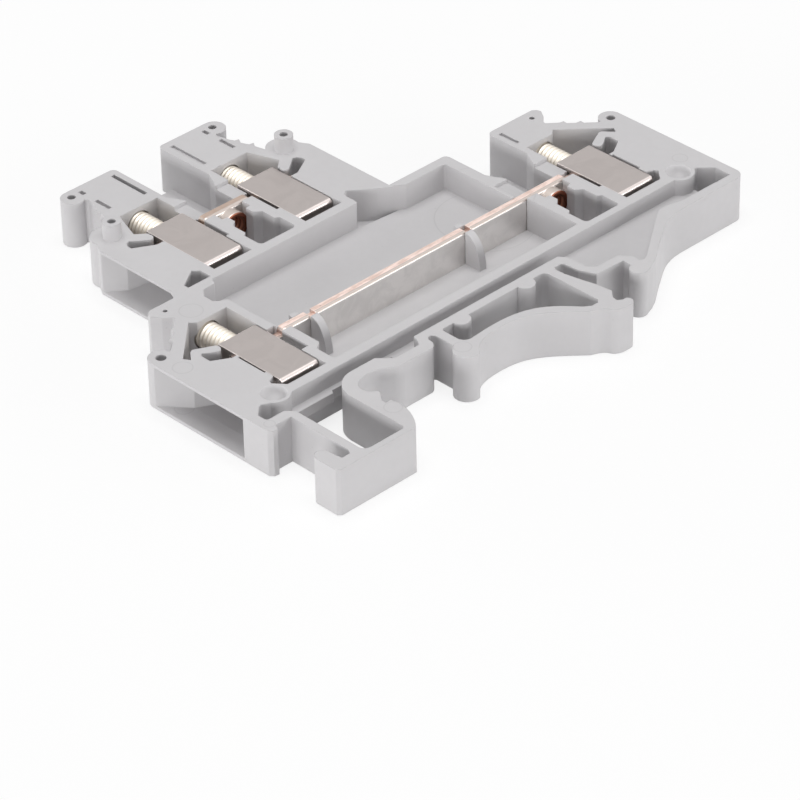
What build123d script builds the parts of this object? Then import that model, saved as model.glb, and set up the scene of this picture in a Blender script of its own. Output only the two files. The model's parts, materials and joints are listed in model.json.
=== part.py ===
from build123d import *
import os

os.makedirs("parts", exist_ok=True)

# One module of a double-level terminal block for a 35 mm rail, lying on its closed side. Lengths in mm.
# In the profiles x runs from the left face, y from the underside of the foot and z from the closed side.
# The origin is under the middle of the whole outline.

# Overall size
LENGTH = 65.8
WIDTH = 5.2
UPPER_LEFT = 9.9
UPPER_RIGHT = 38.9
LOWER_BAR = 21.2
LEVEL_RISE = 20.6
LOWER_TOWER = 11.95
UPPER_TOWER = 14.2

UPPER_BAR = LOWER_BAR + LEVEL_RISE
LOWER_TOP = LOWER_BAR + LOWER_TOWER
HEIGHT = UPPER_BAR + UPPER_TOWER

# Housing walls and floors
POCKET_FLOOR = 0.8
BAY_FLOOR = 1.35
RAISED_FLOOR = 2.2
WEB_DEPTH = 1.9
WEB_THICKNESS = 1.1
GROOVE_TOP = 12.75
BAY_BOTTOM = 14.0
OUTER_WALL = 1.15
FOOT_WALL = 8.35
LOBE_RADIUS = 1.3
PAD_RADIUS = 1.85
SHAFT_WALL = 0.4

# Spring foot and the seat of the rail
RAIL_HOOK = 11.05
RAIL_CATCH = 45.05
RAIL_LEDGE = 4.95
ARM_BOTTOM = 10.15
ARM_TOP = 11.2
LEG_LEFT = 3.2
LEG_RIGHT = 4.15
SLOT_END = 18.8

# Current bars
BAR_THICKNESS = 1.0
BAR_GAP = 0.05
RIM_GAP = 0.1
LOWER_BAR_END = 6.1
UPPER_BAR_END = 4.9
LOWER_SHOULDER = 1.1
UPPER_SHOULDER = 0.5
SHOULDER_ROUND = 0.5
COLLAR_RADIUS = 1.75
COLLAR_LENGTH = 1.1
COLLAR_GAP = 0.15
COLLAR_ROUND = 0.2
BRIDGE_HOLE = 1.25
BAR_ROLL = 0.3
NOTCH_DEPTH = 0.45
RIB_THICKNESS = 0.9
RIB_REACH = 2.1

# Clamp sleeves and screws
LOWER_SCREW = 9.25
UPPER_SCREW = 8.25
SCREW_HEIGHT = 3.05
SCREW_RADIUS = 1.475
THREAD_GAP = 0.05
HOLE_GAP = 0.125
HEAD_RADIUS = 1.7
HEAD_LENGTH = 2.2
HEAD_GAP = 0.2
SLOT_WIDTH = 0.6
SLOT_DEPTH = 0.9
SLEEVE_LENGTH = 4.86
SLEEVE_DROP = 6.3
SLEEVE_SHEET = 0.55
SLEEVE_BLOCK = 1.6
SLEEVE_LIFT = 0.15
SLEEVE_FOLD = 0.5
SLEEVE_GAP = 0.1
TONGUE_GAP = 0.1
LOWER_POCKET = 7.0
UPPER_POCKET = 6.7
SHOULDER = 0.85
WIDE_RELIEF = 1.0
NARROW_RELIEF = 0.55
SLIT = 0.22

# Stacking bosses, their sockets, and the dimples
BOSS_RADIUS = 1.0
BOSS_HEIGHT = 1.85
BOSS_HOLE = 0.45
SOCKET_GAP = 0.05
BOSS_OUT = 2.65
BOSS_UP = 4.3
DIMPLES = [(4.8, 13.85), (LENGTH - 4.4, 13.6)]
DIMPLE_RADIUS = 1.35
DIMPLE_DEPTH = 0.9
DIMPLE_RING = 1.7
INSIDE_ROUND = 0.3
POCKET_ROUND = 0.35
WELL_ROUND = 0.5
TOWER_ROUND = 0.6

# Bridge shafts between the clamps
LOWER_BRIDGE = LENGTH - 15.65
UPPER_BRIDGE = (UPPER_LEFT + UPPER_RIGHT) / 2
SHAFT_NARROW = 2.05
SHAFT_WIDE = 3.05
BACK_WALL_DROP = 1.95
RIM_STEP = 0.45

WEB_TOP = WIDTH - WEB_DEPTH
WEB_BOTTOM = WEB_TOP - WEB_THICKNESS
POCKET_HALF = SLEEVE_LENGTH / 2 + SLEEVE_GAP
HEAD_ROOM = HEAD_RADIUS + HEAD_GAP
SLEEVE_BOTTOM = POCKET_FLOOR + SLEEVE_GAP
SLEEVE_RISE = WIDTH - RIM_GAP - SLEEVE_BOTTOM
TONGUE_BOTTOM = SLEEVE_BOTTOM + SLEEVE_SHEET + TONGUE_GAP
TONGUE_TOP = WIDTH - RIM_GAP - SLEEVE_SHEET - TONGUE_GAP
BAR_TOP = WIDTH - RIM_GAP
COLLAR_HEIGHT = (BAY_FLOOR + BAR_TOP) / 2


def flat(z):
    return Plane(origin=(-LENGTH / 2, -HEIGHT / 2, z))


def across(x):
    return Plane(origin=(x - LENGTH / 2, -HEIGHT / 2, 0), x_dir=(0, 1, 0), z_dir=(1, 0, 0))


def upright(y):
    return Plane(origin=(-LENGTH / 2, y - HEIGHT / 2, 0), x_dir=(1, 0, 0), z_dir=(0, -1, 0))


def placed(points, face, way, bar):
    return [(face + way * out, bar + up) for out, up in points]


def both_sides(middle, bar, halves):
    right = [(middle + half, bar + up) for half, up in halves]
    left = [(middle - half, bar + up) for half, up in reversed(halves)]
    return right + left


# One clamp: outer face, way inwards, underside of the bar, screw from the face, pocket top, tower top
CLAMPS = {
    "lower_left": (0.0, 1, LOWER_BAR, LOWER_SCREW, LOWER_POCKET, LOWER_TOP + 1.6),
    "lower_right": (LENGTH, -1, LOWER_BAR, LOWER_SCREW, LOWER_POCKET, LOWER_TOP),
    "upper_left": (UPPER_LEFT, 1, UPPER_BAR, UPPER_SCREW, UPPER_POCKET, HEIGHT),
    "upper_right": (UPPER_RIGHT, -1, UPPER_BAR, UPPER_SCREW, UPPER_POCKET, HEIGHT),
}
LEVELS = {"lower": (LOWER_BAR, LOWER_BRIDGE, LOWER_TOP), "upper": (UPPER_BAR, UPPER_BRIDGE, HEIGHT)}

# Outer edge of a lower end and of an upper end, from the face up over the marker seat to the tower's top,
# as distances in from the face and up from the underside of the bar
LOWER_EDGE = [
    (0, 4.95), (LOBE_RADIUS, 4.95), (2.6, 5.1), (3.0, 5.3), (4.0, 6.2), (3.95, 6.7), (4.6, 6.8), (5.3, 7.45),
    (5.25, 7.95), (5.75, 8.05), (6.9, 9.05), (6.8, 9.4), (6.05, 10.1), (5.4, 11.1), (5.55, 11.6),
    (6.0, LOWER_TOWER),
]
UPPER_EDGE = [
    (0, 3.2), (0.55, 4.2), (0.8, 4.75), (3.6, 5.25), (3.95, 5.5), (4.3, 7.0), (3.95, 7.6), (4.45, 7.7),
    (4.65, 8.1), (4.85, 8.6), (4.5, 9.25), (5.0, 9.4), (5.3, 10.0), (5.4, 10.7), (5.65, 11.4),
    (4.75, UPPER_TOWER - LOBE_RADIUS), (4.75, UPPER_TOWER),
]
# Pockets of the clamps and the slots that hold the bar tips, in the same way
LOWER_POCKET_EDGE = [
    (LOWER_SCREW - POCKET_HALF, -7.25), (LOWER_SCREW + POCKET_HALF, -7.25),
    (LOWER_SCREW + POCKET_HALF, LOWER_POCKET), (7.9, LOWER_POCKET), (7.3, 7.6), (2.6, 3.2), (3.05, 2.5),
    (3.9, 3.55), (4.3, 3.75), (LOWER_SCREW - POCKET_HALF, 2.55), (LOWER_SCREW - POCKET_HALF, -5.2),
    (5.9, -5.6), (5.7, -6.0),
]
UPPER_POCKET_EDGE = [
    (UPPER_SCREW - POCKET_HALF, -7.6), (UPPER_SCREW + POCKET_HALF, -7.6),
    (UPPER_SCREW + POCKET_HALF, UPPER_POCKET), (UPPER_SCREW - POCKET_HALF, UPPER_POCKET), (5.1, 5.0),
    (4.45, 3.1), (5.4, 2.3), (UPPER_SCREW - POCKET_HALF, 2.0),
]
LOWER_TIP_EDGE = [
    (4.2, 2.3), (4.2, 1.05), (LOWER_BAR_END, -BAR_GAP), (LOWER_SCREW - POCKET_HALF + 0.2, -BAR_GAP),
    (LOWER_SCREW - POCKET_HALF + 0.2, 2.72), (6.42, 2.72), (6.56, 2.45), (6.53, 2.1), (6.37, 1.85),
    (6.1, 1.7), (5.8, 1.8), (4.5, 2.6),
]
UPPER_TIP_EDGE = [
    (2.5, 1.8), (2.5, 1.25), (UPPER_BAR_END - 0.1, -BAR_GAP), (UPPER_SCREW - POCKET_HALF + 0.2, -BAR_GAP),
    (UPPER_SCREW - POCKET_HALF + 0.2, 2.05), (5.45, 2.05), (5.6, 1.75), (5.57, 1.4), (5.4, 1.17), (5.1, 1.1),
    (4.8, 1.2), (3.2, 2.45), (2.8, 2.3),
]
# Deep corner pockets beside the groove, left and right, in from the face and up from the foot
CORNER_EDGES = [
    [(OUTER_WALL, 10.9), (3.6, 10.9), (3.6, GROOVE_TOP), (2.4, 13.3), (OUTER_WALL, 12.1)],
    [(OUTER_WALL, 9.4), (3.6, 9.4), (3.6, GROOVE_TOP), (2.5, GROOVE_TOP), (OUTER_WALL, 11.4)],
]
# Wire funnels as sections: in from the face, then low and high edge from the bar, then low and high z
LOWER_FUNNEL = [
    (-0.2, -8.3, 4.8, 0.35, 4.85), (2.2, -7.0, 1.3, 0.6, 4.78), (4.3, -5.55, 0.1, 0.6, 4.72),
    (5.6, -5.5, -0.45, 1.5, 4.5),
]
UPPER_FUNNEL = [(-0.2, -7.6, 3.3, 0.3, 4.9), (1.6, -6.7, 1.0, 0.75, 4.75), (4.4, -5.6, -0.45, 1.5, 4.5)]
# Bridge well below each bar: half width and height from the underside of the bar
WELL_EDGE = [
    (2.45, -7.6), (2.45, -5.1), (2.0, -4.8), (2.0, -3.0), (BRIDGE_HOLE, -2.4), (BRIDGE_HOLE, -1.35),
    (COLLAR_RADIUS + COLLAR_GAP, -COLLAR_LENGTH - COLLAR_GAP), (COLLAR_RADIUS + COLLAR_GAP, BAR_THICKNESS),
]
# Top of the arm that carries the arch, where it drops towards the arch post
ARM_DROP = [(15.6, ARM_TOP), (16.9, 9.9), (17.2, 9.8)]
# Ribs in the bay under the lower bar: left side of the rib, middle of the nib behind the bar, then the ends
# of the notch in the bar's edge
RIBS = [(16.5, 15.6, 16.5, 17.35), (37.9, 38.45, 38.1, 38.85)]

with BuildPart() as housing:
    # Full outline
    with BuildSketch(flat(0)):
        with BuildLine():
            Polyline((0.1, 3.0), (0.1, 0.35), (0.45, 0), (10.2, 0))
            ThreePointArc((10.2, 0), (11.4, 1.8), (11.95, 4.0))
            Polyline(
                (11.95, 4.0), (11.7, RAIL_LEDGE), (RAIL_HOOK, RAIL_LEDGE), (RAIL_HOOK, 5.5), (11.9, 6.6),
                (11.9, 6.95), (11.4, 7.3),
            )
            ThreePointArc((11.4, 7.3), (11.05, 8.35), (12.0, 9.48))
            Spline((12.0, 9.48), (13.1, 9.75), (14.26, 9.64), (15.35, 9.06), (16.3, 8.6), (17.0, 8.47))
            Line((17.0, 8.47), (20.5, 8.47))
            ThreePointArc((20.5, 8.47), (21.2, 8.76), (21.5, 9.45))
            Polyline((21.5, 9.45), (21.5, 9.75), (21.8, ARM_BOTTOM), (22.2, ARM_BOTTOM), (22.5, 9.75),
                     (22.5, 7.2))
            ThreePointArc((22.5, 7.2), (21.45, 5.6), (23.32, 4.55))
            Spline((23.32, 4.55), (24.7, 5.8), (27.5, 6.35), (31.2, 5.8), (34.0, 3.9), (36.1, 1.95))
            Spline((36.1, 1.95), (36.9, 1.6), (37.3, 1.35), (37.6, 1.0))
            ThreePointArc((37.6, 1.0), (38.14, 0.28), (39.0, 0))
            Line((39.0, 0), (39.8, 0))
            ThreePointArc((39.8, 0), (40.38, 0.25), (40.5, 0.8))
            Polyline(
                (40.5, 0.8), (40.3, 1.1),
                (39.8, 1.15), (39.3, 1.5), (39.4, 2.1), (40.2, 3.0), (40.0, 4.9), (39.6, 6.5), (39.2, 8.5),
                (39.15, 9.8), (39.4, 10.05), (40.25, 10.05), (40.5, 9.8), (40.65, 8.0), (41.4, 6.2),
                (RAIL_CATCH, 6.0), (RAIL_CATCH - 0.1, 4.85),
            )
            ThreePointArc((RAIL_CATCH - 0.1, 4.85), (RAIL_CATCH - 0.95, 4.1), (RAIL_CATCH + 0.45, 3.0))
            Polyline(
                (RAIL_CATCH + 0.45, 3.0), (RAIL_CATCH + 1.55, 3.4), (RAIL_CATCH + 2.65, 4.0),
                (RAIL_CATCH + 4.6, 5.4), (RAIL_CATCH + 7.15, 7.1),
            )
            ThreePointArc((RAIL_CATCH + 7.15, 7.1), (RAIL_CATCH + 9.08, 8.03), (RAIL_CATCH + 11.2, FOOT_WALL))
            Line((RAIL_CATCH + 11.2, FOOT_WALL), (LENGTH - OUTER_WALL, FOOT_WALL))
            RadiusArc((LENGTH - OUTER_WALL, FOOT_WALL), (LENGTH, FOOT_WALL + OUTER_WALL), -OUTER_WALL)
            Polyline(
                (LENGTH, FOOT_WALL + OUTER_WALL),
                *placed(LOWER_EDGE, LENGTH, -1, LOWER_BAR),
                (UPPER_RIGHT, LOWER_TOP),
                *placed(UPPER_EDGE, UPPER_RIGHT, -1, UPPER_BAR),
                *placed(reversed(UPPER_EDGE), UPPER_LEFT, 1, UPPER_BAR),
                (UPPER_LEFT, LOWER_TOP + 1.1), (UPPER_LEFT - 0.6, LOWER_TOP),
                *placed(reversed(LOWER_EDGE), 0, 1, LOWER_BAR),
                (0, 9.6), (0.35, 9.15), (0.9, 9.1), (1.25, 9.75), (LEG_LEFT, 9.75), (LEG_LEFT, 1.9),
                (2.9, 1.35), (1.9, 1.35), (1.75, 1.9), (1.7, 3.0),
            )
            ThreePointArc((1.7, 3.0), (0.9, 3.75), (0.1, 3.0))
        make_face()
        with Locations((LOBE_RADIUS, LOWER_BAR + 4.95), (LENGTH - LOBE_RADIUS, LOWER_BAR + 4.95)):
            Circle(LOBE_RADIUS)
        with Locations((UPPER_LEFT + 4.75, HEIGHT - LOBE_RADIUS), (UPPER_RIGHT - 4.75, HEIGHT - LOBE_RADIUS)):
            Circle(LOBE_RADIUS)
        with Locations((UPPER_LEFT + 2.4, UPPER_BAR + 4.75), (UPPER_RIGHT - 2.4, UPPER_BAR + 4.75)):
            Circle(PAD_RADIUS)
    extrude(amount=WIDTH)

    # Groove with its middle web between the body and the foot, on both sides of the web
    groove_edge = [
        (3.4, 10.85), (LEG_RIGHT, 10.1), (9.9, 10.1), (10.7, ARM_TOP), *ARM_DROP, (20.2, 9.8), (20.6, 10.3),
        (20.9, ARM_TOP), (41.0, ARM_TOP), (41.6, 10.5), (41.75, 7.9), (42.4, 7.1), (RAIL_CATCH + 0.35, 7.05),
        (RAIL_CATCH + 1.35, 5.8), (RAIL_CATCH + 1.15, 5.0), (RAIL_CATCH + 1.65, 4.7),
        (RAIL_CATCH + 2.25, 4.95), (RAIL_CATCH + 8.55, 9.4), (RAIL_CATCH + 9.55, 10.0),
        (RAIL_CATCH + 10.55, 10.0), (RAIL_CATCH + 12.45, 9.5), (LENGTH - OUTER_WALL, 9.4),
        *placed(reversed(CORNER_EDGES[1][2:]), LENGTH, -1, 0), (3.4, GROOVE_TOP),
    ]
    with BuildSketch(flat(WEB_TOP)):
        with BuildLine():
            Polyline(*groove_edge, close=True)
        make_face()
    extrude(amount=WEB_DEPTH, mode=Mode.SUBTRACT)
    with BuildSketch(flat(0)):
        with BuildLine():
            Polyline(*groove_edge, close=True)
        make_face()
    extrude(amount=WEB_BOTTOM, mode=Mode.SUBTRACT)

    # Open slot that frees the sprung leg of the foot
    with BuildSketch(flat(0)):
        with BuildLine():
            Polyline(*ARM_DROP, (SLOT_END, 9.8), (SLOT_END, 12.2), (10.8, 12.2), (10.6, 11.8),
                     (LEG_RIGHT, 11.8), (LEG_RIGHT, 1.55))
            ThreePointArc((LEG_RIGHT, 1.55), (LEG_RIGHT + 0.25, 0.95), (LEG_RIGHT + 0.85, 0.7))
            Line((LEG_RIGHT + 0.85, 0.7), (9.05, 0.7))
            ThreePointArc((9.05, 0.7), (9.37, 0.83), (9.5, 1.15))
            Line((9.5, 1.15), (9.5, 8.3))
            ThreePointArc((9.5, 8.3), (10.35, 10.3), (12.2, ARM_TOP))
            Line((12.2, ARM_TOP), ARM_DROP[0])
        make_face()
    extrude(amount=WIDTH, mode=Mode.SUBTRACT)

    # Window in the arch, with two half-round buttons under the arm
    with BuildSketch(flat(0)):
        with BuildLine():
            Polyline((36.2, 3.0), (36.9, 2.55), (37.7, 2.5), (38.1, 2.9), (38.1, ARM_BOTTOM - 0.6))
            ThreePointArc((38.1, ARM_BOTTOM - 0.6), (37.92, ARM_BOTTOM - 0.18), (37.5, ARM_BOTTOM))
            Line((37.5, ARM_BOTTOM), (24.0, ARM_BOTTOM))
            ThreePointArc((24.0, ARM_BOTTOM), (23.72, ARM_BOTTOM - 0.12), (23.6, ARM_BOTTOM - 0.4))
            Line((23.6, ARM_BOTTOM - 0.4), (23.6, 8.0))
            ThreePointArc((23.6, 8.0), (23.88, 7.25), (24.6, 6.97))
            Spline((24.6, 6.97), (28.0, 7.15), (30.9, 6.85), (33.0, 6.05), (34.8, 4.6), (36.2, 3.0))
        make_face()
        with Locations((26.3, ARM_BOTTOM), (35.3, ARM_BOTTOM)):
            Circle(1.05, mode=Mode.SUBTRACT)
    extrude(amount=WIDTH, mode=Mode.SUBTRACT)

    # Deep corner pockets beside the groove
    for face, way, corner_edge in ((0, 1, CORNER_EDGES[0]), (LENGTH, -1, CORNER_EDGES[1])):
        with BuildSketch(flat(POCKET_FLOOR)) as corner:
            with BuildLine():
                Polyline(*placed(corner_edge, face, way, 0), close=True)
            make_face()
            fillet(corner.vertices(), POCKET_ROUND)
        extrude(amount=WIDTH, mode=Mode.SUBTRACT)

    # Round bosses of the dimples
    with BuildSketch(flat(0)):
        with Locations(*DIMPLES):
            Circle(DIMPLE_RING)
    extrude(amount=WIDTH)

    # Middle bay between the two levels
    bay_right = LOWER_BRIDGE - SHAFT_NARROW - 1.25
    bay_notch = LOWER_SCREW + HEAD_ROOM + SHAFT_WALL
    upper_floor = UPPER_BAR - 8.8
    with BuildSketch(flat(BAY_FLOOR)) as bay:
        with BuildLine():
            Polyline(
                (12.9, BAY_BOTTOM), (bay_right, BAY_BOTTOM), (bay_right, LOWER_BAR),
                (bay_right - 1.05, LOWER_BAR + BAR_THICKNESS), (bay_right - 1.05, LOWER_TOP - OUTER_WALL),
                (UPPER_RIGHT + 1.3, LOWER_TOP - OUTER_WALL), (UPPER_RIGHT - 1.35, LOWER_TOP + 0.4),
                (UPPER_RIGHT - 3.9, upper_floor + 2.6), (UPPER_RIGHT - 4.55, upper_floor + 2.0),
                (UPPER_RIGHT - 4.6, upper_floor), (UPPER_LEFT + 4.3, upper_floor),
                (UPPER_LEFT + 4.0, upper_floor - 0.8), (bay_notch + 0.8, upper_floor - 0.8),
                (bay_notch, upper_floor - 1.8), (bay_notch, upper_floor - 3.0),
                (bay_notch + 0.5, upper_floor - 3.5), (12.85, upper_floor - 3.8),
                (12.9, LOWER_BAR + BAR_THICKNESS), (13.85, LOWER_BAR), (13.85, 17.1), (12.9, 16.4),
                close=True,
            )
        make_face()
        fillet(bay.vertices(), INSIDE_ROUND)
    extrude(amount=WIDTH - BAY_FLOOR, mode=Mode.SUBTRACT)
    with BuildSketch(flat(BAY_FLOOR)):
        with BuildLine():
            Polyline((UPPER_LEFT + 1.6, upper_floor + 0.5), (UPPER_LEFT + 4.6, upper_floor + 0.5),
                     (UPPER_LEFT + 4.55, upper_floor + 2.0), (UPPER_LEFT + 3.9, upper_floor + 2.6),
                     (UPPER_LEFT + 1.6, upper_floor + 1.1), close=True)
        make_face()
    extrude(amount=WIDTH - BAY_FLOOR, mode=Mode.SUBTRACT)

    # Raised floor of the bay above the lower bar, up to the edge of its deep corner
    with BuildSketch(flat(BAY_FLOOR)):
        with BuildLine():
            Polyline(
                (12.7, LOWER_BAR + 0.8), (bay_right - 0.85, LOWER_BAR + 0.8),
                (bay_right - 0.85, LOWER_TOP - 0.95), (UPPER_RIGHT + 0.5, LOWER_TOP - 0.7),
                (UPPER_RIGHT - 4.7, upper_floor - 0.1), (UPPER_RIGHT - 4.8, upper_floor + 0.2),
                (UPPER_LEFT + 4.2, upper_floor + 0.2), (UPPER_LEFT + 3.9, upper_floor - 0.6),
                (bay_notch + 0.7, upper_floor - 0.6), (bay_notch - 0.15, upper_floor - 1.7),
                (bay_notch - 0.15, upper_floor - 3.1), (12.7, upper_floor - 3.9), close=True,
            )
        make_face()
    extrude(amount=RAISED_FLOOR - BAY_FLOOR)

    # Clamp pockets, bar tips, wire funnels, screw holes and screwdriver shafts
    for name, (face, way, bar, screw, pocket_top, tower_top) in CLAMPS.items():
        lower = bar == LOWER_BAR
        with BuildSketch(flat(POCKET_FLOOR)):
            with BuildLine():
                pocket_edge = LOWER_POCKET_EDGE if lower else UPPER_POCKET_EDGE
                Polyline(*placed(pocket_edge, face, way, bar), close=True)
            make_face()
        extrude(amount=WIDTH, mode=Mode.SUBTRACT)
        with BuildSketch(flat(POCKET_FLOOR)):
            relief = WIDE_RELIEF if name == "lower_left" else NARROW_RELIEF
            with Locations((face + way * (screw + POCKET_HALF - SLEEVE_GAP + relief / 2), bar - 1.3)):
                Rectangle(relief, 5.0)
            if lower:
                with Locations((face + way * (screw - POCKET_HALF), bar - 2.3)):
                    Rectangle(2 * SLIT, 3.8)
        extrude(amount=WIDTH, mode=Mode.SUBTRACT)
        with BuildSketch(flat(BAY_FLOOR)):
            with BuildLine():
                Polyline(*placed(LOWER_TIP_EDGE if lower else UPPER_TIP_EDGE, face, way, bar), close=True)
            make_face()
        extrude(amount=WIDTH, mode=Mode.SUBTRACT)
        funnel = LOWER_FUNNEL if lower else UPPER_FUNNEL
        for out, low, high, z_low, z_high in funnel:
            with BuildSketch(across(face + way * out)):
                with Locations((bar + (low + high) / 2, (z_low + z_high) / 2)):
                    Rectangle(high - low, z_high - z_low)
        loft(ruled=True, mode=Mode.SUBTRACT)
        out, low, high, z_low, z_high = funnel[-1]
        with BuildSketch(across(face + way * (out - 0.01))):
            with Locations((bar + (low + high) / 2, (z_low + z_high) / 2)):
                Rectangle(high - low, z_high - z_low)
        extrude(amount=way * (screw - POCKET_HALF - out + 0.3), mode=Mode.SUBTRACT)
        shoulder = bar + pocket_top + SHOULDER
        with BuildSketch(upright(shoulder + 0.1)):
            with Locations((face + way * screw, SCREW_HEIGHT)):
                Circle(SCREW_RADIUS + HOLE_GAP)
        extrude(amount=SHOULDER + 0.5, mode=Mode.SUBTRACT)
        with BuildSketch(upright(tower_top)):
            with Locations((face + way * screw, SCREW_HEIGHT)):
                Circle(HEAD_ROOM)
        extrude(amount=tower_top - shoulder, mode=Mode.SUBTRACT)

    # Bridge wells, bar channels, bridge shafts with their back walls, and the low step of the rim
    for level, (bar, middle, tower_top) in LEVELS.items():
        with BuildSketch(flat(POCKET_FLOOR)) as well:
            with BuildLine():
                Polyline(*both_sides(middle, bar, WELL_EDGE), close=True)
            make_face()
            fillet(well.vertices().group_by(Axis.Y)[0], WELL_ROUND)
        extrude(amount=WIDTH, mode=Mode.SUBTRACT)
        left = LOWER_SCREW if level == "lower" else UPPER_LEFT + UPPER_SCREW
        right = LENGTH - LOWER_SCREW if level == "lower" else UPPER_RIGHT - UPPER_SCREW
        with BuildSketch(flat(BAY_FLOOR)):
            with Locations(((left + right) / 2, bar + BAR_THICKNESS / 2)):
                Rectangle(right - left, BAR_THICKNESS + 2 * BAR_GAP)
        extrude(amount=WIDTH, mode=Mode.SUBTRACT)
        shaft_edge = both_sides(middle, 0, [
            (SHAFT_NARROW, bar + BAR_THICKNESS / 2), (SHAFT_NARROW, bar + 4.2), (SHAFT_WIDE, bar + 6.2),
            (SHAFT_WIDE, tower_top + 1),
        ])
        with BuildSketch(flat(POCKET_FLOOR)):
            with BuildLine():
                Polyline(*shaft_edge, close=True)
            make_face()
        extrude(amount=WIDTH, mode=Mode.SUBTRACT)
        with BuildSketch(flat(0)):
            with Locations((middle, tower_top)):
                Rectangle(2 * SHAFT_WIDE, 2 * BACK_WALL_DROP)
            for way in (-1, 1):
                with Locations((middle + way * (SHAFT_WIDE + TOWER_ROUND / 2), tower_top - TOWER_ROUND / 2)):
                    Rectangle(TOWER_ROUND, TOWER_ROUND)
                with Locations((middle + way * (SHAFT_WIDE + TOWER_ROUND), tower_top - TOWER_ROUND)):
                    Circle(TOWER_ROUND, mode=Mode.SUBTRACT)
        extrude(amount=WIDTH, mode=Mode.SUBTRACT)
        with BuildSketch(flat(WIDTH - RIM_STEP)):
            with Locations((middle, bar + 2.5)):
                Rectangle(8.0, 3.1)
        extrude(amount=WIDTH, mode=Mode.SUBTRACT)

    # Ribs that hold the lower bar upright in the bay, with a nib behind it
    for rib_left, nib_middle, notch_left, notch_right in RIBS:
        with BuildSketch(across(rib_left)):
            with Locations((LOWER_BAR - BAR_GAP, BAY_FLOOR)):
                Ellipse(RIB_REACH, BAR_TOP - BAY_FLOOR)
                Rectangle(RIB_REACH, BAR_TOP - BAY_FLOOR, align=(Align.MAX, Align.MIN), mode=Mode.INTERSECT)
        extrude(amount=RIB_THICKNESS)
        with BuildSketch(flat(BAY_FLOOR)):
            with Locations((nib_middle, LOWER_BAR + BAR_THICKNESS + BAR_GAP + 0.3)):
                Rectangle(RIB_THICKNESS, 0.6)
        extrude(amount=BAR_TOP - BAY_FLOOR)

    # Stacking bosses with their blind holes, sockets for the next module's bosses, and the dimples
    boss_y = UPPER_BAR + BOSS_UP
    boss_places = [(UPPER_LEFT + BOSS_OUT, boss_y), (UPPER_RIGHT - BOSS_OUT, boss_y)]
    with BuildSketch(flat(WIDTH)):
        with Locations(*boss_places):
            Circle(BOSS_RADIUS)
    extrude(amount=BOSS_HEIGHT)
    with BuildSketch(flat(WIDTH)):
        with Locations(*boss_places):
            Circle(BOSS_HOLE)
    extrude(amount=BOSS_HEIGHT, mode=Mode.SUBTRACT)
    with BuildSketch(flat(0)):
        with Locations(*boss_places):
            Circle(BOSS_RADIUS + SOCKET_GAP)
    extrude(amount=BOSS_HEIGHT + RIM_GAP, mode=Mode.SUBTRACT)
    dimple_ball = (DIMPLE_RADIUS**2 + DIMPLE_DEPTH**2) / (2 * DIMPLE_DEPTH)
    for x, y in DIMPLES:
        with Locations((x - LENGTH / 2, y - HEIGHT / 2, WIDTH - DIMPLE_DEPTH + dimple_ball)):
            Sphere(dimple_ball, mode=Mode.SUBTRACT)

    # Round holes in the lobes
    for x, y, radius in (
        (LOBE_RADIUS, LOWER_BAR + 4.9, 0.55), (LENGTH - LOBE_RADIUS, LOWER_BAR + 4.9, 0.5),
        (UPPER_LEFT + 4.75, HEIGHT - 1.1, 0.45), (UPPER_RIGHT - 4.75, HEIGHT - 1.1, 0.45),
        (7.1, LOWER_TOP - 1.15, 0.25), (LENGTH - 7.1, LOWER_TOP - 1.15, 0.3),
    ):
        with BuildSketch(flat(WIDTH - 3.4)):
            with Locations((x, y)):
                Circle(radius)
        extrude(amount=WIDTH, mode=Mode.SUBTRACT)

    # Narrow slots in the tower faces: middle x and y, length and depth
    for x, y, long, deep in (
        (UPPER_BRIDGE - 4.0, HEIGHT - 3.5, 5.2, 1.4), (UPPER_BRIDGE + 4.2, HEIGHT - 3.5, 5.2, 0.3),
        (UPPER_LEFT + 6.1, HEIGHT - 4.5, 2.2, 0.4), (UPPER_RIGHT - 5.95, HEIGHT - 4.7, 2.2, 0.4),
        (UPPER_LEFT + 6.1, HEIGHT - 1.25, 0.8, 0.5), (UPPER_RIGHT - 5.95, HEIGHT - 1.4, 0.9, 0.5),
        (LOWER_BRIDGE + 3.95, LOWER_TOP - 2.3, 2.7, 0.3),
    ):
        with BuildSketch(flat(WIDTH - deep)):
            with Locations((x, y)):
                Rectangle(0.5, long)
        extrude(amount=WIDTH, mode=Mode.SUBTRACT)
housing.part.label = "housing"
export_step(housing.part, "parts/housing.step")

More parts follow.
